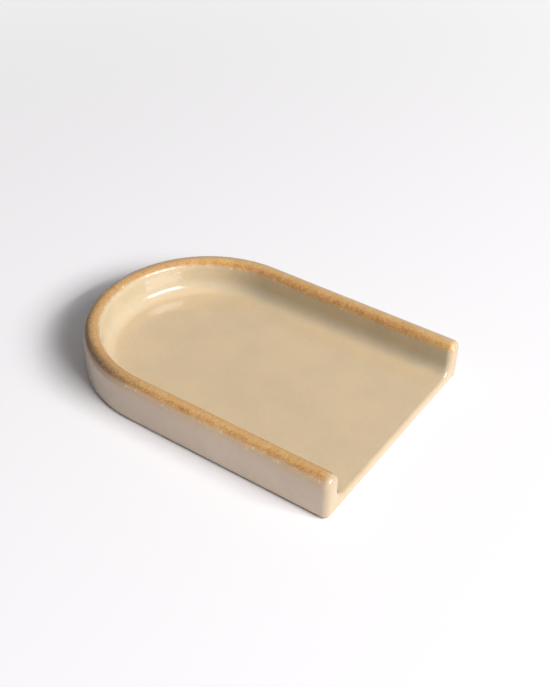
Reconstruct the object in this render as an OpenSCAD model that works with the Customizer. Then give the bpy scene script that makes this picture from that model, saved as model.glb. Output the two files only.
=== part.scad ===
// Spoon rest: a slab-built stoneware tray with an arched back and an open front.
// +X is across the tray, +Y runs from the open front to the arch, +Z is up from the table.
// The origin is on the table, under the middle of the tray.

/* [Tray] */
// Outside width across the two walls
tray_w = 95; // [80:1:140]
// Outside length from the open front to the crown of the arch
tray_l = 134; // [115:1:200]
// Height of the lip above the table
tray_h = 18; // [15:0.5:30]

/* [Wall and floor] */
// Thickness of the wall, glaze included; the lip is a full round of the same width
wall_t = 7.4; // [5:0.2:11]
// Thickness of the floor, glaze included
floor_t = 5; // [4:0.2:8]
// Radius of the cove between the floor and the wall
cove_r = 5; // [2.5:0.25:8]

/* [Edges] */
// Radius of the rolled edge round the open front and the wall ends
front_r = 2.4; // [1.2:0.1:2.8]
// Radius of the roundover under the bare foot
foot_r = 1.2; // [0.5:0.1:1.4]

/* [Glaze] */
// Thickness of the glaze
glaze_t = 0.4; // [0.2:0.05:0.8]
// Height of the bare clay band above the table
foot_line = 1.3; // [1.2:0.1:3]

/* [Hidden] */
$fn = 96;

// Plan: the straight sides run from the open front to the centre of the arch
half_w = tray_w / 2;
front_y = -tray_l / 2;
arch_y = tray_l / 2 - half_w;

// Section of the wall: upright to the middle of the lip, then a half round
lip_r = wall_t / 2;
lip_x = half_w - lip_r;
lip_z = tray_h - lip_r;
inner_x = half_w - wall_t;

// Axis of the cove, which touches the floor and the inner face of the wall
cove_x = inner_x - cove_r;
cove_z = floor_t + cove_r;

// The clay lies one glaze thickness under every glazed surface
clay_top = floor_t - glaze_t;
clay_half_w = half_w - glaze_t;
clay_front_y = front_y + glaze_t;
clay_front_r = front_r - glaze_t;
foot_roll = min(foot_r, clay_front_r);

// Cuts run this far past what they cut
overrun = wall_t;

clay_colour = "#c9a878";
coil_colour = "#bf9c6c";
liner_colour = "#d6c5a3";
outer_colour = "#bfb09c";
rim_colour = "#c99a58";

// What is cut off a square corner at the origin to round it by r
module corner_waste(r) {
    difference() {
        square(r);
        translate([r, r]) circle(r);
    }
}

// Both halves of something drawn on the +X side
module both_sides() {
    for (side = [0, 1]) mirror([side, 0, 0]) children();
}

// Sweeps a section, drawn across the tray, round the arch
module round_arch() {
    translate([0, arch_y, 0]) rotate_extrude(angle = 180) children();
}

// Sweeps a section, drawn across the tray, from the arch to a given distance from the front
module along_sides(front_gap) {
    translate([0, arch_y, 0]) rotate([90, 0, 0]) linear_extrude(arch_y - front_y - front_gap) children();
}

// Carries a profile round the edge of the open front: down the wall, round the cove and across the floor.
// The profile's x is the depth below the glazed surface and its y the distance behind the front.
module round_mouth() {
    both_sides() {
        translate([inner_x, front_y, cove_z]) linear_extrude(lip_z - cove_z) children();
        translate([cove_x, front_y, cove_z]) rotate([-90, 0, 0])
            rotate_extrude(angle = 90) translate([cove_r, 0]) children();
    }
    translate([-cove_x, front_y, floor_t]) rotate([0, 90, 0]) linear_extrude(2 * cove_x) children();
}

// Clay that is rolled off the edge of the open front
module mouth_roll() {
    round_mouth() translate([glaze_t, glaze_t]) corner_waste(clay_front_r);
}

// Half of the hollow's section from the middle of the tray, grown into the walls and floor
module hollow_section(grow) {
    difference() {
        translate([0, floor_t - grow]) square([inner_x + grow, lip_z - floor_t + grow]);
        translate([inner_x + grow, floor_t - grow]) mirror([1, 0]) corner_waste(cove_r + grow);
    }
}

// Half round of the lip's section, one inset inside the glazed surface
module lip_section(inset) {
    translate([lip_x, lip_z]) intersection() {
        circle(lip_r - inset);
        translate([-lip_r, 0]) square([wall_t, lip_r]);
    }
}

// Half of a lip bar's long section, with its front end rolled; x is measured from the bar's axis
module bar_section(inset) {
    bar_l = arch_y - front_y - inset;
    difference() {
        square([lip_r - inset, bar_l]);
        translate([lip_r - inset, bar_l]) mirror([1, 0]) mirror([0, 1]) corner_waste(front_r - inset);
    }
}

// Turns a lip bar's long section into the half round on top of a straight wall
module lip_bar() {
    translate([lip_x, arch_y, lip_z]) rotate([90, 0, 0]) rotate_extrude(angle = 180) children();
}

// Plan of the tray with its front corners rolled, one inset inside the glazed surface
module tray_plan(inset) {
    w = half_w - inset;
    y = front_y + inset;
    translate([0, arch_y]) intersection() {
        circle(w);
        translate([-w, 0]) square([2 * w, w]);
    }
    difference() {
        translate([-w, y]) square([2 * w, arch_y - y]);
        translate([-w, y]) corner_waste(front_r - inset);
        translate([w, y]) mirror([1, 0]) corner_waste(front_r - inset);
    }
}

// Upright section of a slab edge that reaches x = reach, rounded under by the foot roll
module slab_edge(reach) {
    difference() {
        square([reach, clay_top]);
        translate([reach, 0]) mirror([1, 0]) corner_waste(foot_roll);
    }
}

// Floor of the tray, bare and flat underneath
module base_slab() {
    corner_x = clay_half_w - clay_front_r;
    corner_y = clay_front_y + clay_front_r;
    color(clay_colour) difference() {
        union() {
            round_arch() slab_edge(clay_half_w);
            both_sides() {
                along_sides(front_r) slab_edge(clay_half_w);
                translate([corner_x, corner_y, 0]) rotate([0, 0, -90])
                    rotate_extrude(angle = 90) slab_edge(clay_front_r);
            }
            translate([corner_x, corner_y, 0]) rotate([90, 0, -90])
                linear_extrude(2 * corner_x) slab_edge(clay_front_r);
        }
        mouth_roll();
    }
}

// Wall: one strip bent round the border of the slab, with a full-round lip and rolled ends
module wall_strip() {
    strip_w = wall_t - 2 * glaze_t;
    color(clay_colour) difference() {
        union() {
            round_arch() {
                translate([inner_x + glaze_t, clay_top]) square([strip_w, lip_z - clay_top]);
                lip_section(glaze_t);
            }
            both_sides() {
                translate([0, 0, clay_top]) linear_extrude(lip_z - clay_top) intersection() {
                    tray_plan(glaze_t);
                    translate([inner_x + glaze_t, front_y]) square([strip_w, arch_y - front_y]);
                }
                lip_bar() bar_section(glaze_t);
            }
        }
        mouth_roll();
    }
}

// Coil pressed into the inside corner and smoothed to a cove
module corner_coil() {
    clay_cove_r = cove_r + glaze_t;
    color(coil_colour) difference() {
        union() {
            round_arch() coil_section(clay_cove_r);
            both_sides() along_sides(glaze_t) coil_section(clay_cove_r);
        }
        mouth_roll();
    }
}

// Section of the coil: the corner left between the slab, the wall and the cove
module coil_section(r) {
    translate([cove_x + r, clay_top]) mirror([1, 0]) corner_waste(r);
}

// Glossy glaze over the floor, the cove, the inner wall and the front edge
module liner_glaze() {
    color(liner_colour) {
        round_arch() liner_section();
        both_sides() {
            along_sides(front_r) liner_section();
        }
        round_mouth() intersection() {
            difference() {
                translate([front_r, front_r]) circle(front_r);
                translate([front_r, front_r]) circle(clay_front_r);
            }
            square(front_r);
        }
        translate([0, clay_front_y, 0]) rotate([90, 0, 0]) linear_extrude(glaze_t) difference() {
            translate([-lip_x, foot_line]) square([2 * lip_x, lip_z - foot_line]);
            for (side = [0, 1]) mirror([side, 0]) hollow_section(front_r);
        }
    }
}

// Half of the liner's section across the tray
module liner_section() {
    difference() {
        hollow_section(glaze_t);
        hollow_section(0);
    }
}

// Satin glaze on the outside of the wall, from the foot line to the lip and half way over the wall ends
module outer_glaze() {
    color(outer_colour) translate([0, 0, foot_line]) linear_extrude(lip_z - foot_line) difference() {
        tray_plan(0);
        tray_plan(glaze_t);
        translate([-lip_x, front_y - overrun]) square([2 * lip_x, front_r + overrun]);
    }
}

// Iron-bearing wash over the lip
module rim_wash() {
    color(rim_colour) {
        round_arch() difference() {
            lip_section(0);
            lip_section(glaze_t);
        }
        both_sides() lip_bar() difference() {
            bar_section(0);
            bar_section(glaze_t);
        }
    }
}

base_slab();
wall_strip();
corner_coil();
liner_glaze();
outer_glaze();
rim_wash();
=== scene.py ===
"""Spoon rest: glazes the fired clay of a slab-built stoneware tray and sets it on a studio table.

Every length is in metres. +X is across the tray, +Y runs from the open front to the arch, +Z is up.
"""

import math
from types import SimpleNamespace

import bpy
import numpy as np
from mathutils import Matrix, Vector
from mathutils.geometry import delaunay_2d_cdt


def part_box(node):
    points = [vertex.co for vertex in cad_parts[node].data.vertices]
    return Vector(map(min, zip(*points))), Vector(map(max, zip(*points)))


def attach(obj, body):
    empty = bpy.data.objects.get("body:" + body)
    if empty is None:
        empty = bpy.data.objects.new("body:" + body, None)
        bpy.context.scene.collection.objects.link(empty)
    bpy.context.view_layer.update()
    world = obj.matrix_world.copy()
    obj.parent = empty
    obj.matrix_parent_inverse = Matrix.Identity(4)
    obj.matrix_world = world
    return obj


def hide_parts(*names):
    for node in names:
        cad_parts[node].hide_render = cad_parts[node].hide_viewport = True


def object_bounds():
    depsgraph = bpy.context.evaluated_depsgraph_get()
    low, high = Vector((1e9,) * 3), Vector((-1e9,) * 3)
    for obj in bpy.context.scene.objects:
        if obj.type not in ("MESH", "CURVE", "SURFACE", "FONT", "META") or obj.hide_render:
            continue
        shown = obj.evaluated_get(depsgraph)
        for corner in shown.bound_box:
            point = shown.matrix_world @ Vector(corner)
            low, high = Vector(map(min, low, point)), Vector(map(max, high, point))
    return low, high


bl_info = {
    "name": "Spoon rest",
    "version": (1, 0, 0),
    "blender": (4, 5, 0),
    "location": "3D View > Sidebar > Spoon rest",
    "description": "Glazes a slab-built stoneware spoon rest and sets it on a studio table",
    "category": "Object",
}

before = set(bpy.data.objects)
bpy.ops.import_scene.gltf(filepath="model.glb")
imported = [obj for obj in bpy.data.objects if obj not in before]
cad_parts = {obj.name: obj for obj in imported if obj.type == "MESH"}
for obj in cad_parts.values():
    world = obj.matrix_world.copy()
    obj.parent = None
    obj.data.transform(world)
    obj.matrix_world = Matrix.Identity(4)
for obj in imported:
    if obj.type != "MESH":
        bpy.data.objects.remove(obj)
CAD_LOW, CAD_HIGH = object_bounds()
MM = 0.001

# The three coats, numbered as they follow each other over the wall from outside to inside
OUTER, RIM, LINER = range(3)

# Where the open front lies, and where the arch starts
FRONT_Y = CAD_LOW.y
ARCH_Y = CAD_HIGH.y - CAD_HIGH.x

# Columns of a row of the section, and of a point of the skin
X, Z, ACROSS, UP, END_X, END_Z, CREST, ROLL = range(8)
PLACE, OUTWARD, FROM_CREST = slice(0, 3), slice(3, 6), 6

# Fineness of the mesh: points up the foot bead and round the front roll, steps as a share of the front
# face, the floor's triangles as a share of the mesh step, and the gap at their border as a share of a
# triangle
BEAD_STEPS = 6
ROLL_STEPS = 9
FACE_STEP_SHARE = 0.25
FLOOR_PITCH_SHARE = 1.5
FLOOR_GAP_SHARE = 0.7
# Points closer than this are one, and a place is rounded to this many digits
WELD = 1e-7
WELD_DIGITS = 8
# Least divisor, and least share of the foot bead's height
TINY = 1e-9
FOOT_LEAST_SHARE = 0.02

# All coats share one drift of thickness, so that they meet level
COAT_SEED = 4.0

# The kinds of nodes that come up most, with the settings of a range with smooth ends and a mix of colours
MATH = "ShaderNodeMath"
MIX = "ShaderNodeMix"
NOISE = "ShaderNodeTexNoise"
RANGE = "ShaderNodeMapRange"
SMOOTH = {"interpolation_type": "SMOOTHSTEP"}
COLOURS = {"data_type": "RGBA"}

# How far each surface spreads the light, and how strongly it mirrors it
LINER_ROUGHNESS = 0.08
OUTER_ROUGHNESS = 0.2
WASH_ROUGHNESS = 0.48
CLAY_ROUGHNESS = 0.85
TABLE_ROUGHNESS = 0.9
TABLE_GLOSS = 0.1
GLAZE_IOR = 1.52
WASH_IOR = 1.5

# Noise patterns: how wide a cloud is, and its detail. The grains of the wash are twice the real ones, so
# that they can be seen
GLAZE_CLOUD = (14 * MM, 3.0)
GLAZE_MOTTLE = (1.6 * MM, 2.0)
WASH_WANDER = (9 * MM, 1.0)
WASH_GRAIN = (0.8 * MM, 2.0)
WASH_PATCH = (4 * MM, 2.0)
CLAY_CLOUD = (9 * MM, 4.0)
CLAY_GROG = (0.6 * MM, 3.0)
# The mean of a noise pattern, and the range round it where most of it lies
NOISE_MEAN = 0.5
NOISE_MIDDLE = (0.4, 0.6)

# Share of the way from thin to thick by which each glaze drifts, the share of mottling in its clouds, and
# the range of that pattern over which it drifts
LINER_DRIFT = 0.15
OUTER_DRIFT = 0.2
MOTTLE_SHARE = 0.3
MOTTLE_RANGE = (0.38, 0.62)
# Iron specks in the glaze: their cells, their size, the share of cells without one, and how strongly they
# show
GLAZE_SPECK_CELL = 4 * MM
GLAZE_SPECK_RADIUS = 0.28 * MM
GLAZE_BARE_SHARE = 0.67
GLAZE_SPECK_SHARE = 0.45
# Orange peel: its width, and its depth in each glaze
GLAZE_PEEL = 5 * MM
LINER_PEEL_DEPTH = 0.015 * MM
OUTER_PEEL_DEPTH = 0.04 * MM
# Where painted shade darkens the outside glaze along the tray toward the arch, and where iron bled into it,
# over the surface from the crest
OUTER_SHADE_ALONG = (-25 * MM, 15 * MM)
BLEED = (-11 * MM, -5 * MM)
BLEED_SHARE = 0.14
# Where the inside glaze starts to break over the front edge and where it has broken, and the share of the
# cove that it ran off before it pools; above that the cove keeps the wall's darker tone, partly painted
# shade
EDGE_BREAK = (FRONT_Y + 2.4 * MM, FRONT_Y + 0.5 * MM)
POOL_SHARE = 0.25

# How far the borders of the wash wander, and how far its grains tear them and stand out
WASH_SHIFT = 0.6 * MM
WASH_NOTCH = 2.2 * MM
GRAIN_DEPTH = 0.04 * MM
# Where it ends, over the surface from the crest: outside, on the wall that the brush leaned over and from
# the middle on, then inside, on that wall and on the other, and how much less it took at the crown of the
# arch
WASH_LEAN_X = -24 * MM
WASH_OUTER = (-2.9 * MM, -0.1 * MM)
WASH_INNER = (3.4 * MM, 5.0 * MM)
WASH_SAVED = 1.5 * MM
# Where the brush lifted off the one wall and the other
WASH_LIFT_OFF = (FRONT_Y + 2.8 * MM, FRONT_Y + 0.8 * MM)
# How far each border fades, to its outer and to its inner side
OUTER_FADE = (1.2 * MM, 0.6 * MM)
INNER_FADE = (0.7 * MM, 0.7 * MM)
FRONT_FADE = (1.6 * MM, 0.8 * MM)
# Where the bloom lies below the outer border, where the dry surface fades at the inner one, and how far
# from the crest the glazes below the wash have passed into each other
BLOOM = (-2.8 * MM, -1.0 * MM)
BLOOM_SHARE = 0.3
DRY_FADE = (1.0 * MM, -0.8 * MM)
GLAZES_MEET = 3 * MM

# Painted shade on the wash, where the arch's outer shoulder turns from the window: along the tray, across
# it, and over the surface from the crest, from a height that changes across the tray down to where it is
# full
SHADE_Y = (ARCH_Y - 16 * MM, ARCH_Y + 20 * MM)
SHADE_X = (-8 * MM, -30 * MM)
SHADE_TOP_X = (-40 * MM, -24 * MM)
SHADE_TOP = (2.4 * MM, -1.7 * MM)
SHADE_FULL = -2.6 * MM
# How far the border lies out where the shade is painted, and how much of that shade the pale grains keep
SHADE_SHIFT = 0.3 * MM
SHADE_GRAIN_SHARE = 0.75
# The painted shade's veil over the rest of the arch: where it starts and is full, across the tray, and its
# strength
SHADE_VEIL_X = (38 * MM, 18 * MM)
SHADE_VEIL_SHARE = 0.3

# Iron in the wash: the share of patches in its pattern, where it lies outside and inside, over the surface
# from the crest, and where it thins out outside
PATCH_SHARE = 0.3
OUTER_IRON = (-0.4 * MM, -2.4 * MM)
INNER_IRON = (1.0 * MM, 3.2 * MM)
IRON_FADE = (-4.6 * MM, -3.0 * MM)
# How strongly the pattern shows on the crest and outside, how pale the wash is with little and with much
# iron, which is partly painted light on the crest and painted shade toward the borders, and where the dark,
# middle and light ochre lie on that scale
IRON_GAIN = (0.6, 0.95)
IRON_AND_LIGHT_LEVEL = (0.555, 0.45)
IRON_STOPS = (0.34, 0.5, 0.66)
# Where the brush ran dry, and how much paler that is
WASH_DRY = (FRONT_Y + 16 * MM, FRONT_Y + 4 * MM)
DRY_PALER = 0.07

# Pale crystals, drawn about 0.9 mm across, twice the real ones, so that they can be seen: their cells, the
# border of one as shares of its cell, how strongly they show, and what cover times bareness is where they
# show most
CRYSTAL_CELL = 1.6 * MM
CRYSTAL_BORDER = (0.36, 0.2)
CRYSTAL_SHARE = 0.75
HALF_COVERED = 0.5 * 0.5

# Bare clay: the range of its clouds, their dark and light tones, the depth of the grog, and its iron
# specks
CLAY_RANGE = (0.3, 0.7)
CLAY_TONES = (0.88, 1.06)
GROG_DEPTH = 0.1 * MM
CLAY_SPECK_CELL = 2.5 * MM
CLAY_SPECK_RADIUS = 0.4 * MM
CLAY_BARE_SHARE = 0.6
# Where the painted shade along the foot gives way: where that starts and is full, toward the open front,
# which faces the window, and up from the table
FOOT_SHADE_FRONT = (FRONT_Y + 5 * MM, FRONT_Y + 1 * MM)
FOOT_SHADE_TOP = (0.75 * MM, 1.15 * MM)

# The table reaches this far each way, and passes into the backdrop between these distances from the tray
TABLE_REACH = 2.5
TABLE_NEAR = 0.15
TABLE_FAR = 0.7
TABLE_CLOUD = 300 * MM
TABLE_TONES = (0.99, 1.0)

# The window light, as seen from the tray
WINDOW_AZIMUTH = math.radians(-92.5)
WINDOW_WIDTH = 1.9
# Its whole height, the bright pane in it and a thin bar of sky: how high each stands, in degrees, how far
# away, how tall it is, and its share of the light. Each stands a little in front of the one before, so
# that none is hidden
WINDOW_BANDS = (("window_light", 35.0, 3.0, 1.5, 0.3),
                ("window_pane", 30.8, 2.98, 0.7, 0.54),
                ("window_bar", 37.4, 2.96, 0.13, 0.16))

# How the room's light falls off from the window side to the far side, how bright glossy surfaces see it,
# and the white backdrop
ROOM_NEAR = 1.4
ROOM_FAR = 0.6
ROOM_GLOSS = 0.6
BACKDROP = 0.95
WHITE = (1, 1, 1, 1)

# The photograph's camera: where it stands, how it leans, and what it frames
CAMERA_AZIMUTH = math.radians(-56.17)
CAMERA_ELEVATION = math.radians(37.96)
CAMERA_ROLL = math.radians(1.19)
CAMERA_DISTANCE = 407.4 * MM
CAMERA_RIGHT = 11.05 * MM
CAMERA_UP = 11.87 * MM
CAMERA_CLIP = CAMERA_DISTANCE / 100
CAMERA_LENS_MM = 54.70
CAMERA_SENSOR_MM = 36.0


def linear(hex_text):
    """A linear RGBA colour from an sRGB hex value."""
    channels = [int(hex_text[i:i + 2], 16) / 255 for i in (1, 3, 5)]
    return tuple(c / 12.92 if c <= 0.04045 else ((c + 0.055) / 1.055) ** 2.4 for c in channels) + (1.0,)


def length(name, description, default):
    """A length that a user can change."""
    return bpy.props.FloatProperty(name=name, description=description, default=default, min=0.0,
                                   precision=5, subtype="DISTANCE", unit="LENGTH")


def share(name, description, default):
    """A share from none to all that a user can change."""
    return bpy.props.FloatProperty(name=name, description=description, default=default, min=0.0, max=1.0,
                                   subtype="FACTOR")


def colour(name, description, hex_text):
    """A colour that a user can change."""
    return bpy.props.FloatVectorProperty(name=name, description=description, default=linear(hex_text),
                                         size=4, min=0.0, max=1.0, subtype="COLOR")


class SpoonRestForm(bpy.types.PropertyGroup):
    """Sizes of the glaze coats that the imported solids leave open."""

    front_roll: length("Front roll", "Radius of the rolled edges of the wall ends", 2.4 * MM)
    floor_roll: length("Floor roll", "Radius of the rolled front edge of the floor", 1.5 * MM)
    foot_bead: length("Foot bead", "Height over which the glaze swells from the foot line", 0.6 * MM)
    ripple: length("Ripple", "Distance between the thick and thin places of a coat", 22 * MM)
    unevenness: share("Unevenness", "Share of a coat's thickness that is missing where it is thinnest", 0.45)
    mesh_step: length("Mesh step", "Longest side of a face along the wall", 0.9 * MM)


class SpoonRestFinish(bpy.types.PropertyGroup):
    """Colours of the fired clay and of the glazes."""

    # Partly painted shade: darker on the walls and the upper cove than the thin glaze alone would be
    liner_thin_and_shaded: colour("Thin liner", "Inside glaze where it lies thin, on the wall", "#BCAD92")
    liner_edge: colour("Breaking liner", "Inside glaze where it breaks over the front edge", "#BCA78A")
    # Partly painted light: paler on the floor than the pooled glaze alone would be
    liner_pooled_and_lit: colour("Thick liner", "Inside glaze where it has pooled, on the floor", "#DAC19C")
    outer_thin: colour("Thin outer glaze", "Outside glaze where it lies thin, near the front", "#D1BDA9")
    # Painted shade: the outside glaze toward the arch is darker, where the table beside it lies in shadow;
    # clouds of thicker glaze reach this colour too
    outer_thick_and_shaded: colour("Thick outer glaze", "Outside glaze where it lies thick, round the arch", "#C0AD9B")
    glaze_speck: colour("Speck", "Iron specks that melt through the glaze", "#A58B69")
    # Painted shade: the dark brown of the wash on the arch's outer shoulder, where it turns from the window
    rim_painted_shade: colour("Burnt ochre", "Thick wash on the outer shoulder of the arch", "#725B47")
    rim_dark: colour("Dark ochre", "Dark grains of the wash on the lip", "#A9733A")
    rim_mid: colour("Ochre", "Body colour of the wash on the lip", "#CD9D62")
    rim_light: colour("Light ochre", "Pale grains of the wash on the lip", "#DEB57C")
    rim_fleck: colour("Flecks", "Pale crystals at the borders of the wash", "#EBDCC0")
    # Painted shade: the dark line along the foot under the walls, and the underside
    clay: colour("Toasted clay", "Bare fired clay under the walls", "#65503F")
    clay_light: colour("Buff clay", "Bare fired clay next to the glaze and under the open front", "#C6AE92")
    clay_dark: colour("Iron speck", "Iron specks in the bare clay", "#4E382A")


class SpoonRestStage(bpy.types.PropertyGroup):
    """The table and the light."""

    table: colour("Table", "Matt white table", "#FFFDFF")
    window_watts: bpy.props.FloatProperty(name="Window light", description="Power of the large soft light",
                                          default=126.0, min=0.0, unit="POWER")
    fill: share("Fill", "Brightness of the room round the table", 0.22)


def tray_sizes():
    """Sizes of the tray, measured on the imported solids."""
    form = bpy.context.scene.spoon_rest_form
    slab_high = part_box("base_slab")[1]
    coil_low, coil_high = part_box("corner_coil")
    half_w = CAD_HIGH.x
    lip_r = CAD_HIGH.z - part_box("rim_wash")[0].z
    glaze_t = half_w - slab_high.x
    floor_t = slab_high.z + glaze_t
    cove_r = coil_high.z - coil_low.z - glaze_t
    inner_x = half_w - 2 * lip_r
    return SimpleNamespace(
        half_w=half_w, glaze_t=glaze_t, floor_t=floor_t, inner_x=inner_x,
        lip_r=lip_r, lip_x=half_w - lip_r, lip_z=CAD_HIGH.z - lip_r,
        cove_r=cove_r, cove_x=inner_x - cove_r, cove_z=floor_t + cove_r,
        foot_line=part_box("outer_glaze")[0].z, front_r=form.front_roll, floor_r=form.floor_roll,
        bead=form.foot_bead, step=form.mesh_step)


def steps(start, end, step):
    """Evenly spaced values from start to end, no further apart than step."""
    return np.linspace(start, end, max(2, math.ceil(abs(end - start) / step) + 1))


def rows(x, z, across, up, end_x, end_z, crest, roll):
    """Points of a stretch of the section, with their outward directions and the ends of their front lines.

    The last numbers of a row are its distance over the surface from the crest of the lip, counted up
    inwards, and the radius of the roll at its front end.
    """
    return np.stack(np.broadcast_arrays(x, z, across, up, end_x, end_z, crest, roll), axis=1).astype(float)


def section(tray):
    """The section from the foot of the outer wall to the middle of the floor, as rows for each stretch."""
    quarter = math.pi / 2
    fine = tray.step / 2
    shoulder = tray.lip_r * quarter
    swell = tray.foot_line + tray.bead * (1 - np.cos(np.linspace(0, quarter, BEAD_STEPS)))
    height = np.concatenate([swell, steps(swell[-1], tray.lip_z, tray.step)[1:]])
    outer = rows(tray.half_w, height, 1, 0, tray.lip_x, height, height - tray.lip_z - shoulder,
                 tray.front_r)

    turn = steps(0, math.pi, fine / tray.lip_r)
    cos, sin = np.cos(turn), np.sin(turn)
    lip = rows(tray.lip_x + tray.lip_r * cos, tray.lip_z + tray.lip_r * sin, cos, sin,
               tray.lip_x, tray.lip_z, tray.lip_r * (turn - quarter), tray.front_r)

    height = steps(tray.lip_z, tray.cove_z, fine)
    wall = rows(tray.inner_x, height, -1, 0, tray.lip_x, height, shoulder + tray.lip_z - height,
                tray.front_r)

    wide, deep = tray.lip_x - tray.cove_x, tray.cove_z - tray.foot_line
    corner = math.atan2(deep, wide)
    turn = np.concatenate([steps(0, corner, fine / tray.cove_r),
                           steps(corner, quarter, fine / tray.cove_r)[1:]])
    cos, sin = np.cos(turn), np.sin(turn)
    reach = np.minimum(wide / np.maximum(cos, TINY), deep / np.maximum(sin, TINY))
    cove = rows(tray.cove_x + tray.cove_r * cos, tray.cove_z - tray.cove_r * sin, -cos, sin,
                tray.cove_x + reach * cos, tray.cove_z - reach * sin, wall[-1, CREST] + tray.cove_r * turn,
                tray.front_r + (tray.floor_r - tray.front_r) * turn / quarter)

    x = steps(tray.cove_x, 0, tray.step)
    floor = rows(x, tray.floor_t, 0, 1, x, tray.foot_line, cove[-1, CREST] + tray.cove_x - x, tray.floor_r)
    return outer, lip, wall, cove, floor


def front_face(tray, stretch):
    """Stations over the flat front face of a stretch of the section, from its far border to the roll."""
    swell = tray.bead * (1 - np.cos(np.linspace(0, math.pi / 2, BEAD_STEPS)))
    fade = swell / (tray.floor_t - tray.floor_r - tray.foot_line)
    border = stretch[:, [END_X, END_Z]]
    inner = stretch[:, [X, Z]] - stretch[:, [ROLL]] * stretch[:, [ACROSS, UP]]
    for to_roll in np.concatenate([fade, steps(fade[-1], 1, FACE_STEP_SHARE)[1:]]):
        x, z = (border + (inner - border) * to_roll).T
        yield x, FRONT_Y, z, 0, -1, 0


def front_roll(stretch):
    """Stations round the rolled front edge of a stretch of the section."""
    for turn in np.linspace(math.pi / 2, 0, ROLL_STEPS):
        cos, sin = math.cos(turn), math.sin(turn)
        depth = stretch[:, ROLL] * (1 - cos)
        y = FRONT_Y + stretch[:, ROLL] * (1 - sin)
        yield (stretch[:, X] - depth * stretch[:, ACROSS], y, stretch[:, Z] - depth * stretch[:, UP],
               cos * stretch[:, ACROSS], -sin, cos * stretch[:, UP])


def side_and_arch(tray, stretch):
    """Stations along the straight side and a quarter turn round the arch, of a stretch of the section."""
    for y in steps(FRONT_Y + tray.front_r, ARCH_Y, tray.step):
        yield stretch[:, X], y, stretch[:, Z], stretch[:, ACROSS], 0, stretch[:, UP]
    for turn in steps(0, math.pi / 2, tray.step / tray.half_w)[1:]:
        cos, sin = math.cos(turn), math.sin(turn)
        yield (stretch[:, X] * cos, ARCH_Y + stretch[:, X] * sin, stretch[:, Z],
               stretch[:, ACROSS] * cos, stretch[:, ACROSS] * sin, stretch[:, UP])


def grid(stretch, coat, *runs):
    """A grid of quads over the rows of a stretch and the stations of the runs."""
    stations = [np.stack(np.broadcast_arrays(*station, stretch[:, CREST]), axis=1)
                for run in runs for station in run]
    across, along = len(stretch), len(stations)
    corner = (np.arange(along - 1)[:, None] * across + np.arange(across - 1)).ravel()
    quads = np.stack([corner, corner + 1, corner + across + 1, corner + across], axis=1)
    return np.concatenate(stations), quads.tolist(), coat


def flat_floor(tray, floor, cove):
    """The flat of the floor on one side, filled with even triangles inside its border."""
    front = FRONT_Y + tray.floor_r
    border = [(x, front) for x in floor[::-1, X]]
    border += [(float(x[0]), float(np.ravel(y)[0])) for x, y, *_ in side_and_arch(tray, cove[-1:])]
    top = ARCH_Y + tray.cove_x
    border += [(0.0, y) for y in steps(top, front, tray.step)[1:-1]]
    inside = []
    pitch = FLOOR_PITCH_SHARE * tray.step
    gap = FLOOR_GAP_SHARE * pitch
    line_gap = pitch * math.sqrt(0.75)
    for line, y in enumerate(np.arange(front + pitch, top, line_gap)):
        half = math.sqrt(max(0.0, tray.cove_x ** 2 - max(0.0, y - ARCH_Y) ** 2))
        inside += [(x, y) for x in np.arange(gap + line % 2 * pitch / 2, half - gap, pitch)]
    edges = [(i, (i + 1) % len(border)) for i in range(len(border))]
    spots = border + inside
    _, _, triangles, given, *_ = delaunay_2d_cdt([Vector(spot) for spot in spots], edges, [], 1, WELD)
    x, y = np.array([spots[origin[0]] for origin in given]).T
    flat = np.broadcast_arrays(x, y, tray.floor_t, 0, 0, 1, floor[0, CREST])
    return np.stack(flat, axis=1), [list(triangle) for triangle in triangles], LINER


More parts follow.
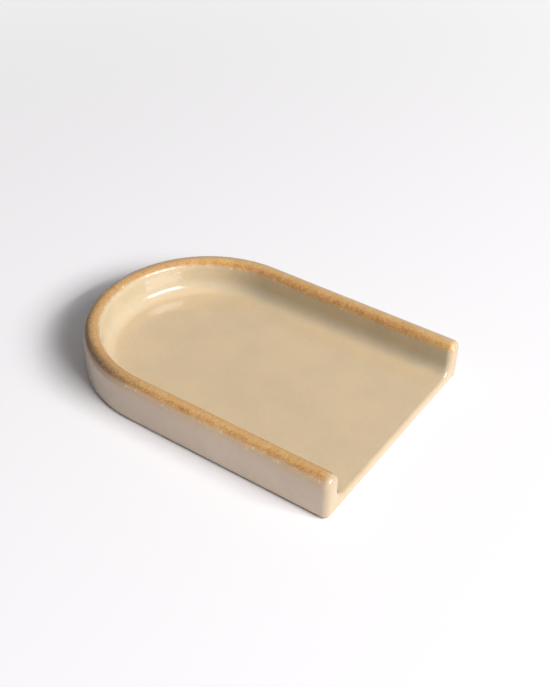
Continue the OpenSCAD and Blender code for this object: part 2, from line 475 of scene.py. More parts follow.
def clay_skin():
    """The clay under the three coats as one welded sheet with the values that the coats are laid by."""
    tray = tray_sizes()
    outer, lip, wall, cove, floor = section(tray)
    inside = np.concatenate([wall, cove[1:]])
    patches = [grid(stretch, coat, front_face(tray, stretch), front_roll(stretch),
                    side_and_arch(tray, stretch))
               for stretch, coat in ((outer, OUTER), (lip, RIM), (inside, LINER))]
    patches += [grid(floor, LINER, front_face(tray, floor), front_roll(floor)),
                flat_floor(tray, floor, cove)]

    points, faces, coats = [], [], []
    mirror = np.array([-1, 1, 1, -1, 1, 1, 1])
    for patch, polygons, coat in patches:
        for sheet in (patch, patch * mirror):
            start = sum(len(part) for part in points)
            points.append(sheet)
            faces += [[start + i for i in polygon] for polygon in polygons]
            coats += [coat] * len(polygons)
    points = np.concatenate(points)
    rounded = np.round(points[:, PLACE], WELD_DIGITS)
    _, first, weld = np.unique(rounded, axis=0, return_index=True, return_inverse=True)
    points, weld = points[first], weld.ravel()

    kept, kept_coats = [], []
    for face, coat in zip(faces, coats):
        corners = list(dict.fromkeys(weld[face].tolist()))
        if len(corners) < 3:
            continue
        spots = points[corners, PLACE]
        normal = np.cross(spots[2] - spots[0], spots[-1] - spots[1])
        facing = normal @ points[corners, OUTWARD].sum(axis=0)
        kept.append(corners if facing > 0 else corners[::-1])
        kept_coats.append(coat)

    above_foot = np.clip((points[:, 2] - tray.foot_line) / tray.bead, FOOT_LEAST_SHARE, 1)
    values = {"outward": ("FLOAT_VECTOR", "POINT", points[:, OUTWARD]),
              "fullness": ("FLOAT", "POINT", np.sqrt(1 - (1 - above_foot) ** 2)),
              "crest": ("FLOAT", "POINT", points[:, FROM_CREST]),
              "coat": ("INT", "FACE", np.array(kept_coats))}
    mesh = bpy.data.meshes.new("clay_skin")
    mesh.from_pydata((points[:, PLACE] - tray.glaze_t * points[:, OUTWARD]).tolist(), [], kept)
    for name, (kind, domain, value) in values.items():
        field = "vector" if kind == "FLOAT_VECTOR" else "value"
        mesh.attributes.new(name, kind, domain).data.foreach_set(field, value.ravel())
    mesh.shade_smooth()
    return mesh, tray


def fill_inputs(tree, node, inputs):
    """Fills a node's inputs with values or other nodes' outputs, by name or in the order of those in use."""
    if isinstance(inputs, dict):
        filled = [(node.inputs[name], value) for name, value in inputs.items()]
    else:
        filled = list(zip([socket for socket in node.inputs if socket.enabled], inputs))
    for socket, value in filled:
        if isinstance(value, bpy.types.NodeSocket):
            tree.links.new(value, socket)
        else:
            socket.default_value = value


def add_node(tree, kind, inputs=(), **settings):
    """Adds a node with its settings and links to a tree, and gives the first of its outputs in use."""
    node = tree.nodes.new(kind)
    for name, value in settings.items():
        setattr(node, name, value)
    fill_inputs(tree, node, inputs)
    return next((socket for socket in node.outputs if socket.enabled), None)


def coat_tree():
    """Geometry nodes that lay one coat of glaze, thick here and thin there, on a sheet of clay."""
    tree = bpy.data.node_groups.get("glaze_coat")
    if tree:
        return tree
    tree = bpy.data.node_groups.new("glaze_coat", "GeometryNodeTree")
    for name, kind in (("Clay", "Geometry"), ("Coat", "Int"), ("Thickness", "Float"),
                       ("Unevenness", "Float"), ("Ripple", "Float"), ("Seed", "Float"),
                       ("Glaze", "Material")):
        tree.interface.new_socket(name, in_out="INPUT", socket_type="NodeSocket" + kind)
    tree.interface.new_socket("Coat", in_out="OUTPUT", socket_type="NodeSocketGeometry")
    given = add_node(tree, "NodeGroupInput").node.outputs
    outward, fullness, which, lift = [
        add_node(tree, "GeometryNodeInputNamedAttribute", [name], data_type=kind)
        for name, kind in (("outward", "FLOAT_VECTOR"), ("fullness", "FLOAT"), ("coat", "INT"),
                           ("lift", "FLOAT_VECTOR"))]

    # Thickness falls short of the full coat by a share that drifts slowly over the surface
    place = add_node(tree, "GeometryNodeInputPosition")
    scale = add_node(tree, MATH, [1.0, given["Ripple"]], operation="DIVIDE")
    drift = add_node(tree, NOISE,
                     {"Vector": place, "W": given["Seed"], "Scale": scale, "Detail": 1.0},
                     noise_dimensions="4D")
    missing = add_node(tree, MATH, [drift, given["Unevenness"]], operation="MULTIPLY")
    left = add_node(tree, MATH, [1.0, missing], operation="SUBTRACT")
    full = add_node(tree, MATH, [fullness, given["Thickness"]], operation="MULTIPLY")
    depth = add_node(tree, MATH, [full, left], operation="MULTIPLY")
    rise = add_node(tree, "ShaderNodeVectorMath", [outward, depth], operation="SCALE")

    # The whole skin is lifted once, so that the coats share their normals where they meet
    stored = add_node(tree, "GeometryNodeStoreNamedAttribute",
                      {"Geometry": given["Clay"], "Name": "lift", "Value": rise},
                      data_type="FLOAT_VECTOR", domain="POINT")
    raised = add_node(tree, "GeometryNodeSetPosition", {"Geometry": stored, "Offset": lift})
    normal = add_node(tree, "GeometryNodeInputNormal")
    shaded = add_node(tree, "GeometryNodeStoreNamedAttribute",
                      {"Geometry": raised, "Name": "shine", "Value": normal},
                      data_type="FLOAT_VECTOR", domain="POINT")
    fall = add_node(tree, "ShaderNodeVectorMath", [lift, -1.0], operation="SCALE")
    clay = add_node(tree, "GeometryNodeSetPosition", {"Geometry": shaded, "Offset": fall})

    # One coat's share of the skin is raised off the clay and closed by its own underside
    chosen = add_node(tree, "FunctionNodeCompare", [which, given["Coat"]],
                      data_type="INT", operation="EQUAL")
    under = add_node(tree, "GeometryNodeSeparateGeometry", [clay, chosen], domain="FACE")
    walled = add_node(tree, "GeometryNodeExtrudeMesh",
                      {"Mesh": under, "Offset Scale": 0.0, "Individual": False}, mode="FACES").node.outputs
    marked = add_node(tree, "GeometryNodeStoreNamedAttribute",
                      {"Geometry": walled["Mesh"], "Name": "glazed", "Value": walled["Top"]},
                      data_type="BOOLEAN", domain="FACE")
    glazed = add_node(tree, "GeometryNodeSetPosition",
                      {"Geometry": marked, "Selection": walled["Top"], "Offset": lift})
    flipped = add_node(tree, "GeometryNodeFlipFaces", [under])
    joined = add_node(tree, "GeometryNodeJoinGeometry", [flipped])
    tree.links.new(glazed, joined.node.inputs[0])
    closed = add_node(tree, "GeometryNodeMergeByDistance", {"Geometry": joined, "Distance": WELD})
    real = add_node(tree, "GeometryNodeRealizeInstances", [closed])
    dressed = add_node(tree, "GeometryNodeSetMaterial", {"Geometry": real, "Material": given["Glaze"]})
    add_node(tree, "NodeGroupOutput", [dressed])
    return tree


def add_object(name, data):
    """A new object in the scene."""
    made = bpy.data.objects.new(name, data)
    bpy.context.scene.collection.objects.link(made)
    return made


def lay_coat(name, coat, material, seed):
    """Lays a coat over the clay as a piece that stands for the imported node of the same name."""
    form = bpy.context.scene.spoon_rest_form
    mesh, tray = clay_skin()
    piece = add_object(name + "_coat", mesh)
    tree = coat_tree()
    modifier = piece.modifiers.new("glaze_coat", "NODES")
    modifier.node_group = tree
    given = {"Coat": coat, "Thickness": tray.glaze_t, "Unevenness": form.unevenness, "Ripple": form.ripple,
             "Seed": seed, "Glaze": material}
    for item in tree.interface.items_tree:
        if item.in_out == "INPUT" and item.name in given:
            modifier[item.identifier] = given[item.name]
    depsgraph = bpy.context.evaluated_depsgraph_get()
    finished = bpy.data.meshes.new_from_object(piece.evaluated_get(depsgraph), preserve_all_data_layers=True,
                                               depsgraph=depsgraph)
    piece.modifiers.clear()
    piece.data = finished
    bpy.data.meshes.remove(mesh)
    set_shine(finished)
    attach(piece, "root")
    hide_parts(name)


def read_field(elements, field, kind, *width):
    """Reads a field of all vertices, faces or corners of a mesh, as numbers or as rows of a given width."""
    values = np.zeros(len(elements) * math.prod(width), dtype=kind)
    elements.foreach_get(field, values)
    return values.reshape(-1, *width)


def set_shine(mesh):
    """Gives the glazed faces the normals of the whole skin, so that no seam shows where two coats meet."""
    mesh.shade_smooth()
    shine = read_field(mesh.attributes["shine"].data, "vector", float, 3)
    glazed = read_field(mesh.attributes["glazed"].data, "value", bool)
    sizes = read_field(mesh.polygons, "loop_total", int)
    flat = np.repeat(read_field(mesh.polygons, "normal", float, 3), sizes, axis=0)
    corners = read_field(mesh.loops, "vertex_index", int)
    mesh.normals_split_custom_set(np.where(np.repeat(glazed, sizes)[:, None], shine[corners], flat).tolist())
    for name in ("outward", "fullness", "coat", "lift", "shine", "glazed"):
        if name in mesh.attributes:
            mesh.attributes.remove(mesh.attributes[name])


def new_material(name):
    """A material with its tree, its shader and the piece's own coordinates."""
    material = bpy.data.materials.new(name)
    material.use_nodes = True
    tree = material.node_tree
    shader = tree.nodes["Principled BSDF"]
    place = add_node(tree, "ShaderNodeTexCoord").node.outputs["Object"]
    return material, tree, shader, place


def iron_specks(tree, place, cell, radius, bare_share):
    """Round iron specks with soft borders, one in each cell of a given size apart from a share of them."""
    cells = add_node(tree, "ShaderNodeTexVoronoi", {"Vector": place, "Scale": 1 / cell}).node.outputs
    near = add_node(tree, RANGE, [cells["Distance"], radius / cell, radius / cell / 2])
    lot = add_node(tree, "ShaderNodeSeparateColor", [cells["Color"]])
    taken = add_node(tree, MATH, [lot, bare_share], operation="GREATER_THAN")
    return add_node(tree, MATH, [near, taken], operation="MULTIPLY")


def glaze_colour(tree, place, pooled, drift, thin, thick, speck_colour):
    """Colour of a beige stoneware glaze, from thin to pooled, with sparse iron specks.

    Its thickness drifts by a share each way, in wide clouds with a fine mottling.
    """
    wide, fine = [
        add_node(tree, NOISE, {"Vector": place, "Scale": 1 / size, "Detail": detail})
        for size, detail in (GLAZE_CLOUD, GLAZE_MOTTLE)]
    both = add_node(tree, MIX, [MOTTLE_SHARE, wide, fine])
    more = add_node(tree, RANGE, [both, *MOTTLE_RANGE, -drift, drift])
    depth = add_node(tree, MATH, [pooled, more], operation="ADD", use_clamp=True)
    body = add_node(tree, MIX, [depth, thin, thick], **COLOURS)
    speck = iron_specks(tree, place, GLAZE_SPECK_CELL, GLAZE_SPECK_RADIUS, GLAZE_BARE_SHARE)
    faint = add_node(tree, MATH, [speck, GLAZE_SPECK_SHARE], operation="MULTIPLY")
    return add_node(tree, MIX, [faint, body, speck_colour], **COLOURS)


def outer_colour(tree, place, finish):
    """Colour of the outside glaze, darker toward the arch with painted shade, and warmer under the lip."""
    along = add_node(tree, "ShaderNodeSeparateXYZ", [place]).node.outputs["Y"]
    # Painted shade: darker toward the arch
    thick = add_node(tree, RANGE, [along, *OUTER_SHADE_ALONG, OUTER_DRIFT, 1 - OUTER_DRIFT], **SMOOTH)
    glaze = glaze_colour(tree, place, thick, OUTER_DRIFT, finish.outer_thin, finish.outer_thick_and_shaded,
                         finish.glaze_speck)
    # Iron from the lip bled a little way down into it
    crest = add_node(tree, "ShaderNodeAttribute", attribute_name="crest").node.outputs["Fac"]
    bled = add_node(tree, RANGE, [crest, *BLEED, 0.0, BLEED_SHARE], **SMOOTH)
    return add_node(tree, MIX, [bled, glaze, finish.rim_mid], **COLOURS)


def front_edge(tree, place):
    """How far a place lies on the rolled front edge, where the inside glaze breaks thin over the others."""
    along = add_node(tree, "ShaderNodeSeparateXYZ", [place]).node.outputs["Y"]
    return add_node(tree, RANGE, [along, *EDGE_BREAK], **SMOOTH)


def glaze_surface(tree, place, depth):
    """Bump of a glaze that has flowed out: low orange peel."""
    peel = add_node(tree, NOISE, {"Vector": place, "Scale": 1 / GLAZE_PEEL, "Detail": 1.0})
    return add_node(tree, "ShaderNodeBump", {"Height": peel, "Strength": 1.0, "Distance": depth})


def glossy_glaze(finish):
    """Glossy stoneware glaze, poured: a glassy beige that mirrors the light and the wall round it."""
    material, tree, shader, place = new_material("glossy_stoneware_glaze")
    # It ran off the wall, broke over the rolled front edge and pooled on the floor. Partly painted shade and
    # light: the wall and upper cove are darker and the floor paler than the glaze alone would make them
    tray = tray_sizes()
    wall_foot = tray.lip_r * math.pi / 2 + tray.lip_z - tray.cove_z
    floor_edge = wall_foot + tray.cove_r * math.pi / 2
    pool_edge = wall_foot + POOL_SHARE * (floor_edge - wall_foot)
    crest = add_node(tree, "ShaderNodeAttribute", attribute_name="crest").node.outputs["Fac"]
    down = add_node(tree, RANGE, [crest, pool_edge, floor_edge], **SMOOTH)
    edge = front_edge(tree, place)
    flat = add_node(tree, MIX, [edge, down, 0.0])
    pooled = add_node(tree, RANGE, [flat, 0.0, 1.0, LINER_DRIFT, 1 - LINER_DRIFT])
    thin = add_node(tree, MIX, [edge, finish.liner_thin_and_shaded, finish.liner_edge], **COLOURS)
    body = glaze_colour(tree, place, pooled, LINER_DRIFT, thin, finish.liner_pooled_and_lit, finish.glaze_speck)
    peel = glaze_surface(tree, place, LINER_PEEL_DEPTH)
    fill_inputs(tree, shader, {"Base Color": body, "Normal": peel, "IOR": GLAZE_IOR,
                               "Roughness": LINER_ROUGHNESS})
    return material


def satin_glaze(finish):
    """Satin stoneware glaze, dipped: the same beige, with the light spread softly over it."""
    material, tree, shader, place = new_material("satin_stoneware_glaze")
    body = outer_colour(tree, place, finish)
    # On the wall ends the inside glaze runs over it
    both = add_node(tree, MIX, [front_edge(tree, place), body, finish.liner_edge], **COLOURS)
    peel = glaze_surface(tree, place, OUTER_PEEL_DEPTH)
    fill_inputs(tree, shader, {"Base Color": both, "Normal": peel, "IOR": GLAZE_IOR,
                               "Roughness": OUTER_ROUGHNESS})
    return material


def wash_spot(tree, place):
    """What the wash is laid by: where a place lies on the lip, and the grains and patches of iron there."""
    across, along, _ = add_node(tree, "ShaderNodeSeparateXYZ", [place]).node.outputs
    crest = add_node(tree, "ShaderNodeAttribute", attribute_name="crest").node.outputs["Fac"]
    wander, grain, patch = [
        add_node(tree, NOISE, {"Vector": place, "Scale": 1 / size, "Detail": detail})
        for size, detail in (WASH_WANDER, WASH_GRAIN, WASH_PATCH)]
    return SimpleNamespace(place=place, across=across, along=along, crest=crest, wander=wander, grain=grain,
                           patch=patch)


def wash_borders(tree, spot):
    """Where the wash ends outside and inside, over the surface from the crest, and where at the open front.

    The brush leaned over one side wall, took less round the arch and lifted off before the wall ends.
    """
    outer = add_node(tree, RANGE, [spot.across, WASH_LEAN_X, 0.0, *WASH_OUTER])
    whole = add_node(tree, RANGE, [spot.across, CAD_LOW.x, CAD_HIGH.x, *WASH_INNER])
    saved = add_node(tree, RANGE, [spot.along, ARCH_Y, CAD_HIGH.y, 0.0, WASH_SAVED])
    inner = add_node(tree, MATH, [whole, saved], operation="SUBTRACT")
    front = add_node(tree, RANGE, [spot.across, CAD_LOW.x, CAD_HIGH.x, *WASH_LIFT_OFF])
    return outer, inner, front


def wash_painted_shade(tree, spot):
    """How far painted shade darkens the wash round the arch: heavily on one half's outer shoulder, which
    turns from the window.

    The rest of the arch has only a veil of painted shade.
    """
    begun = add_node(tree, RANGE, [spot.along, *SHADE_Y], **SMOOTH)
    half = add_node(tree, RANGE, [spot.across, *SHADE_X], **SMOOTH)
    heavy_shade = add_node(tree, MATH, [begun, half], operation="MULTIPLY")
    top = add_node(tree, RANGE, [spot.across, *SHADE_TOP_X, *SHADE_TOP])
    shoulder = add_node(tree, RANGE, [spot.crest, top, SHADE_FULL], **SMOOTH)
    # Where the painted shade is heaviest, on the shoulder
    thick = add_node(tree, MATH, [heavy_shade, shoulder], operation="MULTIPLY")
    rest = add_node(tree, RANGE, [spot.across, *SHADE_VEIL_X, 0.0, SHADE_VEIL_SHARE])
    shade_veil = add_node(tree, MATH, [begun, rest], operation="MULTIPLY")
    return add_node(tree, MATH, [thick, shade_veil], operation="MAXIMUM")


def wash_cover(tree, spot, borders, painted_shade):
    """How far the wash covers the glaze, and how far the brush was down behind the open front.

    Its borders wander and are torn by the grains, and are smooth where shade is painted.
    """
    outer_end, inner_end, front_end = borders
    shift = add_node(tree, RANGE, [spot.wander, 0.0, 1.0, -WASH_SHIFT, WASH_SHIFT])
    notch = add_node(tree, RANGE, [spot.grain, 0.0, 1.0, -WASH_NOTCH, WASH_NOTCH])
    torn = add_node(tree, MATH, [shift, notch], operation="ADD")
    ragged = add_node(tree, MIX, [painted_shade, torn, SHADE_SHIFT])
    covers = []
    for far, near, (soft_out, soft_in) in (
            (spot.crest, outer_end, OUTER_FADE), (inner_end, spot.crest, INNER_FADE),
            (spot.along, front_end, FRONT_FADE)):
        inside = add_node(tree, MATH, [far, near], operation="SUBTRACT")
        edge = add_node(tree, MATH, [inside, ragged], operation="ADD")
        covers.append(add_node(tree, RANGE, [edge, -soft_out, soft_in], **SMOOTH))
    outside, inside, front = covers
    within = add_node(tree, MATH, [outside, inside], operation="MULTIPLY")
    # A faint bloom of it runs on below the outer border
    below = add_node(tree, MATH, [spot.crest, outer_end], operation="SUBTRACT")
    bloom = add_node(tree, RANGE, [below, *BLOOM, 0.0, BLOOM_SHARE], **SMOOTH)
    spread = add_node(tree, MATH, [within, bloom], operation="MAXIMUM")
    held = add_node(tree, MATH, [spread, inside], operation="MINIMUM")
    washed = add_node(tree, MATH, [held, front], operation="MULTIPLY")
    return washed, front


def wash_iron(tree, spot):
    """How pale the wash is: grains over patches, with more iron on either side of the crest, and paler on
    the crest partly as painted light.
    """
    mixed = add_node(tree, MIX, [PATCH_SHARE, spot.grain, spot.patch])
    swing = add_node(tree, MATH, [mixed, NOISE_MEAN], operation="SUBTRACT")
    outer_side, inner_side = [
        add_node(tree, RANGE, [spot.crest, start, end], **SMOOTH)
        for start, end in (OUTER_IRON, INNER_IRON)]
    fade = add_node(tree, RANGE, [spot.crest, *IRON_FADE])
    outer_iron = add_node(tree, MATH, [outer_side, fade], operation="MULTIPLY")
    border = add_node(tree, MATH, [outer_iron, inner_side], operation="MAXIMUM")
    gain = add_node(tree, RANGE, [outer_side, 0.0, 1.0, *IRON_GAIN])
    level = add_node(tree, RANGE, [border, 0.0, 1.0, *IRON_AND_LIGHT_LEVEL])
    # It is palest where the brush ran dry, at the end of the other side wall
    last = add_node(tree, RANGE, [spot.along, *WASH_DRY, 0.0, DRY_PALER])
    pale = add_node(tree, RANGE, [spot.across, 0.0, CAD_HIGH.x / 2, 0.0, last])
    tone = add_node(tree, MATH, [level, pale], operation="ADD")
    return add_node(tree, MATH, [swing, gain, tone], operation="MULTIPLY_ADD")


def wash_ochre(tree, spot, painted_shade, finish):
    """Colour of the wash, from dark to pale grains, with painted shade in brown and a little grain."""
    ramp = add_node(tree, "ShaderNodeValToRGB", [wash_iron(tree, spot)])
    elements = ramp.node.color_ramp.elements
    shades = (finish.rim_dark, finish.rim_mid, finish.rim_light)
    for stop, (at, shade) in enumerate(zip(IRON_STOPS, shades)):
        element = elements[stop] if stop < len(elements) else elements.new(at)
        element.position = at
        element.color = shade
    # Painted shade, brown with a little grain, where the shoulder turns from the window
    specked = add_node(tree, RANGE, [spot.grain, *NOISE_MIDDLE, 1.0, SHADE_GRAIN_SHARE])
    shade_share = add_node(tree, MATH, [painted_shade, specked], operation="MULTIPLY")
    return add_node(tree, MIX, [shade_share, ramp, finish.rim_painted_shade], **COLOURS)


def wash_flecks(tree, spot, washed, painted_shade):
    """Where pale crystals grew: in clusters where the wash thins out, and none under the painted shade."""
    cells = add_node(tree, "ShaderNodeTexVoronoi", {"Vector": spot.place, "Scale": 1 / CRYSTAL_CELL})
    crystal = add_node(tree, RANGE, [cells, *CRYSTAL_BORDER])
    bare = add_node(tree, MATH, [1.0, washed], operation="SUBTRACT")
    thinning = add_node(tree, MATH, [washed, bare], operation="MULTIPLY")
    amount = add_node(tree, RANGE, [thinning, 0.0, HALF_COVERED, 0.0, CRYSTAL_SHARE])
    cluster = add_node(tree, RANGE, [spot.patch, *NOISE_MIDDLE, 0.0, amount])
    most = add_node(tree, RANGE, [painted_shade, 0.0, 1.0, cluster, 0.0])
    return add_node(tree, MATH, [crystal, most], operation="MULTIPLY")


def iron_wash(finish):
    """Iron-bearing wash, brushed on and fired: dry granular ochre that breaks up into the glaze below."""
    material, tree, shader, place = new_material("iron_wash_over_stoneware")
    spot = wash_spot(tree, place)
    borders = wash_borders(tree, spot)
    # How far painted shade darkens the wash round the arch
    painted_shade = wash_painted_shade(tree, spot)
    washed, front = wash_cover(tree, spot, borders, painted_shade)

    # What shows below the wash is the outer glaze on one side of the crest and the liner on the other
    inward = add_node(tree, RANGE, [spot.crest, -GLAZES_MEET, GLAZES_MEET])
    outside = outer_colour(tree, place, finish)
    inside = glaze_colour(tree, place, LINER_DRIFT, LINER_DRIFT, finish.liner_thin_and_shaded, finish.liner_pooled_and_lit,
                          finish.glaze_speck)
    sides = add_node(tree, MIX, [inward, outside, inside], **COLOURS)
    glaze = add_node(tree, MIX, [front_edge(tree, place), sides, finish.liner_edge], **COLOURS)
    ochre = wash_ochre(tree, spot, painted_shade, finish)
    coat = add_node(tree, MIX, [washed, glaze, ochre], **COLOURS)
    fleck = wash_flecks(tree, spot, washed, painted_shade)
    base = add_node(tree, MIX, [fleck, coat, finish.rim_fleck], **COLOURS)

    # It is dry to the touch, from a little past its torn inner border outwards
    smooth = add_node(tree, RANGE, [inward, 0.0, 1.0, OUTER_ROUGHNESS, LINER_ROUGHNESS])
    past = add_node(tree, MATH, [spot.crest, borders[1]], operation="SUBTRACT")
    dry = add_node(tree, RANGE, [past, *DRY_FADE], **SMOOTH)
    matt = add_node(tree, MATH, [dry, front], operation="MULTIPLY")
    rough = add_node(tree, MIX, [matt, smooth, WASH_ROUGHNESS])
    rise = add_node(tree, MATH, [spot.grain, washed], operation="MULTIPLY")
    peel = glaze_surface(tree, place, LINER_PEEL_DEPTH)
    grit = add_node(tree, "ShaderNodeBump",
                    {"Height": rise, "Strength": 1.0, "Distance": GRAIN_DEPTH, "Normal": peel})
    fill_inputs(tree, shader, {"Base Color": base, "Normal": grit, "IOR": WASH_IOR, "Roughness": rough})
    return material


def bare_stoneware(finish):
    """Buff stoneware, rolled and fired bare: matt, with grog that catches the light and iron specks, and
    painted shade along the foot.
    """
    material, tree, shader, place = new_material("bare_buff_stoneware")
    tone, grog = [
        add_node(tree, NOISE, {"Vector": place, "Scale": 1 / size, "Detail": detail})
        for size, detail in (CLAY_CLOUD, CLAY_GROG)]
    shade = add_node(tree, RANGE, [tone, *CLAY_RANGE, *CLAY_TONES])
    # Painted shade darkens the lowest edge under the walls and the underside, not the clay by the glaze or
    # under the open front
    _, along, up = add_node(tree, "ShaderNodeSeparateXYZ", [place]).node.outputs
    front = add_node(tree, RANGE, [along, *FOOT_SHADE_FRONT])
    upper = add_node(tree, RANGE, [up, *FOOT_SHADE_TOP])
    unshaded = add_node(tree, MATH, [front, upper], operation="MAXIMUM")
    foot_shade = add_node(tree, MIX, [unshaded, finish.clay, finish.clay_light], **COLOURS)
    body = add_node(tree, "ShaderNodeVectorMath", [foot_shade, shade], operation="SCALE")
    speck = iron_specks(tree, place, CLAY_SPECK_CELL, CLAY_SPECK_RADIUS, CLAY_BARE_SHARE)
    base = add_node(tree, MIX, [speck, body, finish.clay_dark], **COLOURS)
    grit = add_node(tree, "ShaderNodeBump", {"Height": grog, "Strength": 1.0, "Distance": GROG_DEPTH})
    fill_inputs(tree, shader, {"Base Color": base, "Normal": grit, "Roughness": CLAY_ROUGHNESS})
    return material


def white_table(stage):
    """White matt table, painted: even and pale, so that only the shadow shows on it."""
    material, tree, shader, place = new_material("matt_white_table")
    tone = add_node(tree, NOISE, {"Vector": place, "Scale": 1 / TABLE_CLOUD, "Detail": 1.0})
    shade = add_node(tree, RANGE, [tone, 0.0, 1.0, *TABLE_TONES])
    body = add_node(tree, "ShaderNodeVectorMath", [stage.table[:3], shade], operation="SCALE")
    fill_inputs(tree, shader, {"Base Color": body, "Roughness": TABLE_ROUGHNESS,
                               "Specular IOR Level": TABLE_GLOSS})
    # Far from the tray it passes into the backdrop, so that no horizon shows
    away = add_node(tree, "ShaderNodeVectorMath", [place], operation="LENGTH")
    far = add_node(tree, RANGE, [away, TABLE_NEAR, TABLE_FAR], **SMOOTH)
    path = add_node(tree, "ShaderNodeLightPath").node.outputs
    looked_at = add_node(tree, MATH, [path["Is Camera Ray"], path["Is Glossy Ray"]], operation="MAXIMUM")
    hidden = add_node(tree, MATH, [far, looked_at], operation="MULTIPLY")
    backdrop = add_node(tree, "ShaderNodeEmission", {"Color": WHITE, "Strength": BACKDROP})
    both = add_node(tree, "ShaderNodeMixShader", [hidden, shader.outputs[0], backdrop])
    fill_inputs(tree, tree.nodes["Material Output"], {"Surface": both})
    return material


def lay_table(stage):
    """A flat table under the tray."""
    mesh = bpy.data.meshes.new("table")
    corners = [(x * TABLE_REACH, y * TABLE_REACH, 0) for x, y in ((-1, -1), (1, -1), (1, 1), (-1, 1))]
    mesh.from_pydata(corners, [], [(0, 1, 2, 3)])
    mesh.materials.append(white_table(stage))
    table = add_object("table", mesh)


def light_room(stage):
    """One large soft window light in three bands, and a pale room that darkens away from it."""
    for name, degrees, distance, height, light_share in WINDOW_BANDS:
        flat, rise = math.cos(math.radians(degrees)), math.sin(math.radians(degrees))
        toward = Vector((flat * math.cos(WINDOW_AZIMUTH), flat * math.sin(WINDOW_AZIMUTH), rise))
        light = bpy.data.lights.new(name, "AREA")
        light.shape = "RECTANGLE"
        light.size = WINDOW_WIDTH
        light.size_y = height
        light.energy = stage.window_watts * light_share
        lamp = add_object(name, light)
        lamp.location = toward * distance
        lamp.rotation_euler = toward.to_track_quat("Z", "Y").to_euler()

    world = bpy.data.worlds.new("pale_room")
    world.use_nodes = True
    bpy.context.scene.world = world
    tree = world.node_tree
    path = add_node(tree, "ShaderNodeLightPath").node.outputs
    level = add_node(tree, RANGE, [path["Is Glossy Ray"], 0.0, 1.0, stage.fill, ROOM_GLOSS])
    way = add_node(tree, "ShaderNodeTexCoord").node.outputs["Generated"]
    depth = add_node(tree, "ShaderNodeSeparateXYZ", [way]).node.outputs["Y"]
    fall = add_node(tree, RANGE, [depth, -1.0, 1.0, ROOM_NEAR, ROOM_FAR])
    room = add_node(tree, MATH, [level, fall], operation="MULTIPLY")
    strength = add_node(tree, MIX, [path["Is Camera Ray"], room, BACKDROP])
    fill_inputs(tree, tree.nodes["Background"], {"Color": WHITE, "Strength": strength})


def place_camera():
    """The camera at the photograph's viewing angle."""
    cos, sin = math.cos(CAMERA_AZIMUTH), math.sin(CAMERA_AZIMUTH)
    flat, rise = math.cos(CAMERA_ELEVATION), math.sin(CAMERA_ELEVATION)
    back = Vector((sin * flat, -cos * flat, rise))
    right = Vector((cos, sin, 0))
    up = back.cross(right)
    right, up = (right * math.cos(CAMERA_ROLL) + up * math.sin(CAMERA_ROLL),
                 up * math.cos(CAMERA_ROLL) - right * math.sin(CAMERA_ROLL))
    data = bpy.data.cameras.new("camera")
    data.lens = CAMERA_LENS_MM
    data.sensor_width = CAMERA_SENSOR_MM
    data.clip_start = CAMERA_CLIP
    camera = add_object("camera", data)
    turned = Matrix((right, up, back)).transposed().to_4x4()
    turned.translation = back * CAMERA_DISTANCE + right * CAMERA_RIGHT + up * CAMERA_UP
    camera.matrix_world = turned
    bpy.context.scene.camera = camera


class SPOONREST_OT_clay(bpy.types.Operator):
    """Give the slab, the wall and the corner coil their bare fired clay"""

    bl_idname = "spoon_rest.clay"
    bl_label = "Fire the clay"

    def execute(self, context):
        clay = bare_stoneware(context.scene.spoon_rest_finish)
        for node in ("base_slab", "wall_strip", "corner_coil"):
            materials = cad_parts[node].data.materials
            materials.clear()
            materials.append(clay)
        return {"FINISHED"}


class SPOONREST_OT_liner(bpy.types.Operator):
    """Pour the glossy glaze over the floor, the cove, the inner wall and the front edge"""

    bl_idname = "spoon_rest.liner"
    bl_label = "Glaze the inside"

    def execute(self, context):
        lay_coat("liner_glaze", LINER, glossy_glaze(context.scene.spoon_rest_finish), COAT_SEED)
        return {"FINISHED"}


class SPOONREST_OT_outer(bpy.types.Operator):
    """Dip the outside of the wall in the satin glaze, down to the bare foot"""

    bl_idname = "spoon_rest.outer"
    bl_label = "Glaze the outside"

    def execute(self, context):
        lay_coat("outer_glaze", OUTER, satin_glaze(context.scene.spoon_rest_finish), COAT_SEED)
        return {"FINISHED"}


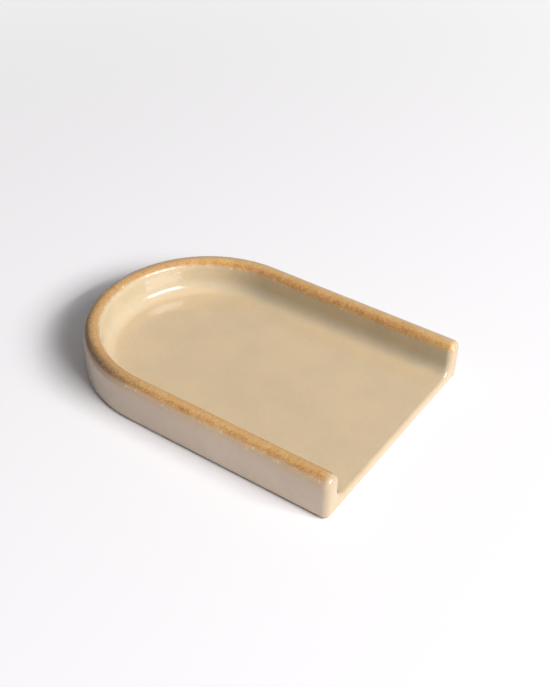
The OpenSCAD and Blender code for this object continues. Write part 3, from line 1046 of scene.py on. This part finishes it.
class SPOONREST_OT_rim(bpy.types.Operator):
    """Brush the ochre wash over the lip"""

    bl_idname = "spoon_rest.rim"
    bl_label = "Wash the lip"

    def execute(self, context):
        lay_coat("rim_wash", RIM, iron_wash(context.scene.spoon_rest_finish), COAT_SEED)
        return {"FINISHED"}


class SPOONREST_OT_stage(bpy.types.Operator):
    """Set up the table, the light and the camera"""

    bl_idname = "spoon_rest.stage"
    bl_label = "Set the stage"

    def execute(self, context):
        stage = context.scene.spoon_rest_stage
        lay_table(stage)
        light_room(stage)
        place_camera()
        context.scene.view_settings.view_transform = "Standard"
        return {"FINISHED"}


class SPOONREST_PT_panel(bpy.types.Panel):
    """Lists what dresses the spoon rest, with its sizes and colours"""

    bl_idname = "SPOONREST_PT_panel"
    bl_label = "Spoon rest"
    bl_space_type = "VIEW_3D"
    bl_region_type = "UI"
    bl_category = "Spoon rest"

    def draw(self, context):
        for operator in OPERATORS:
            self.layout.operator(operator.bl_idname)
        for attribute, group in GROUPS.items():
            values = getattr(context.scene, attribute)
            for name in group.__annotations__:
                self.layout.prop(values, name)


GROUPS = {"spoon_rest_form": SpoonRestForm, "spoon_rest_finish": SpoonRestFinish,
          "spoon_rest_stage": SpoonRestStage}
OPERATORS = (SPOONREST_OT_clay, SPOONREST_OT_liner, SPOONREST_OT_outer, SPOONREST_OT_rim, SPOONREST_OT_stage)


def register():
    for cls in (*GROUPS.values(), *OPERATORS, SPOONREST_PT_panel):
        bpy.utils.register_class(cls)
    for attribute, group in GROUPS.items():
        setattr(bpy.types.Scene, attribute, bpy.props.PointerProperty(type=group))


def unregister():
    for attribute in GROUPS:
        delattr(bpy.types.Scene, attribute)
    for cls in (SPOONREST_PT_panel, *reversed(OPERATORS), *reversed(GROUPS.values())):
        bpy.utils.unregister_class(cls)


def main():
    register()
    bpy.ops.spoon_rest.clay()
    bpy.ops.spoon_rest.liner()
    bpy.ops.spoon_rest.outer()
    bpy.ops.spoon_rest.rim()
    bpy.ops.spoon_rest.stage()


if __name__ == "__main__":
    main()
